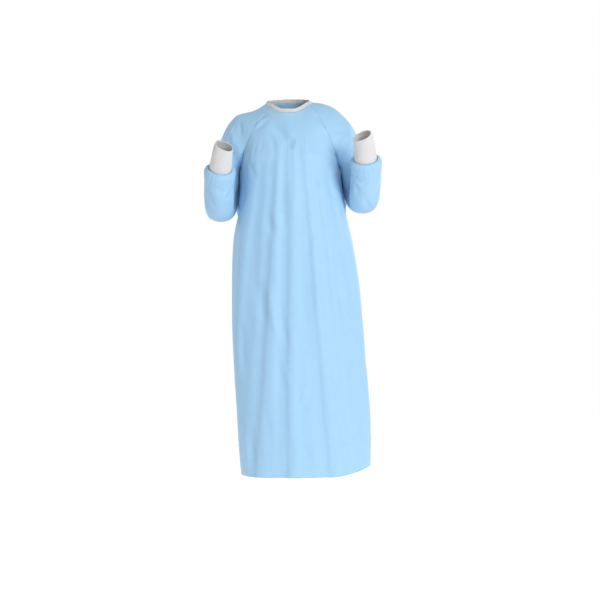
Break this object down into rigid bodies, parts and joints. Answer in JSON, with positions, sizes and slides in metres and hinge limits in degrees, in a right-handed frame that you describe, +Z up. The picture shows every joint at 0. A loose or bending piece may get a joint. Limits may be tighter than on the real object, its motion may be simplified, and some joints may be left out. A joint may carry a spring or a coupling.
{
  "type": "surgical gown",
  "caption": "Full-length surgical gown held open as worn, with long raglan sleeves bent up, knit cuffs, a bound round neck, a wrapped back and a tied waist.",
  "frame": {"origin": "middle of the neck opening at the height of the shoulders, where the wearer's neck and shoulders hold the gown", "axes": "+Z up, -Y the way the gown faces, +X towards the wearer's left"},
  "size_m": [0.5575, 0.3759, 1.221],
  "materials": {
    "nonwoven": "matt pale blue nonwoven",
    "knit": "white ribbed knit",
    "binding": "off-white folded tape"
  },
  "bodies": {
    "root": {"front_panel": "nonwoven", "back_panel_left": "nonwoven", "back_panel_right": "nonwoven", "sleeve_left": "nonwoven", "sleeve_right": "nonwoven", "cuff_left": "knit", "cuff_right": "knit", "neck_binding": "binding", "neck_tab": "knit", "tie_flap": "nonwoven", "tie_side": "nonwoven", "tie_knot": "nonwoven"}
  },
  "joints": []
}
